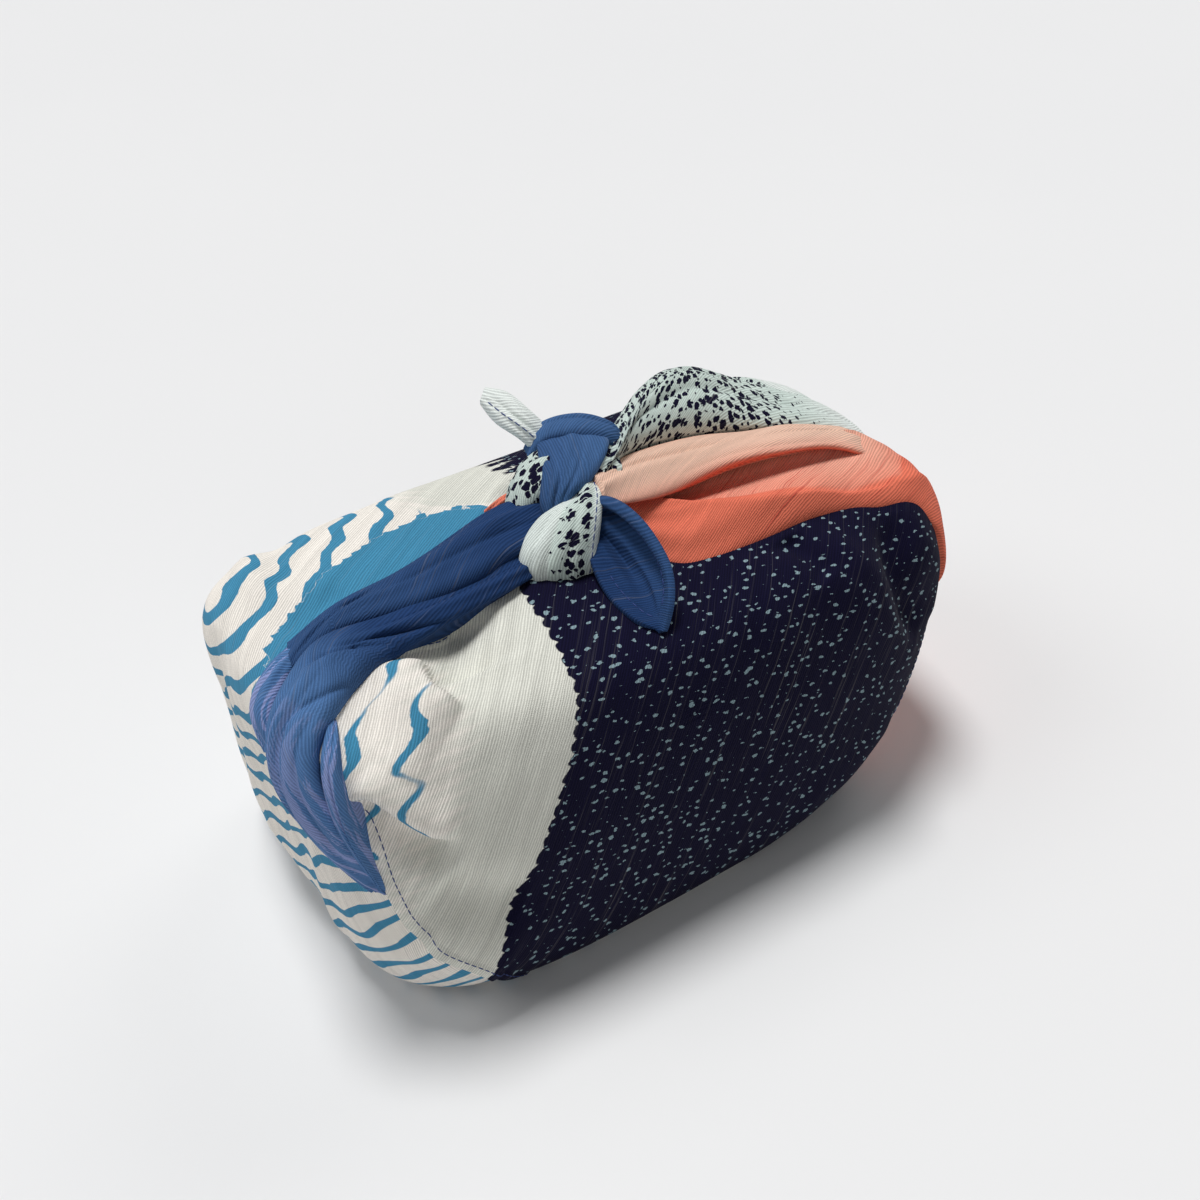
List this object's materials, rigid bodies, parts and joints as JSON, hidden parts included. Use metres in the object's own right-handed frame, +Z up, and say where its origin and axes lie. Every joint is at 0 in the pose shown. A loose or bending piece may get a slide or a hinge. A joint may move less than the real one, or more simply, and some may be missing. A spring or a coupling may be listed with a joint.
{
  "type": "furoshiki wrap",
  "caption": "Square furoshiki cloth wrapped round a box-like parcel and tied on top in a square knot, resting on its flat base.",
  "frame": {"origin": "middle of the parcel on its base, where the cloth meets the surface", "axes": "+X along the parcel towards the fanned right strands, -Y the front under the outer flap, +Z up towards the knot"},
  "size_m": [0.2486, 0.132, 0.1458],
  "materials": {
    "slub_cotton": "matt printed slub cotton with a stitched hem"
  },
  "bodies": {
    "root": {"wrapped_cloth": "slub_cotton"}
  },
  "joints": []
}
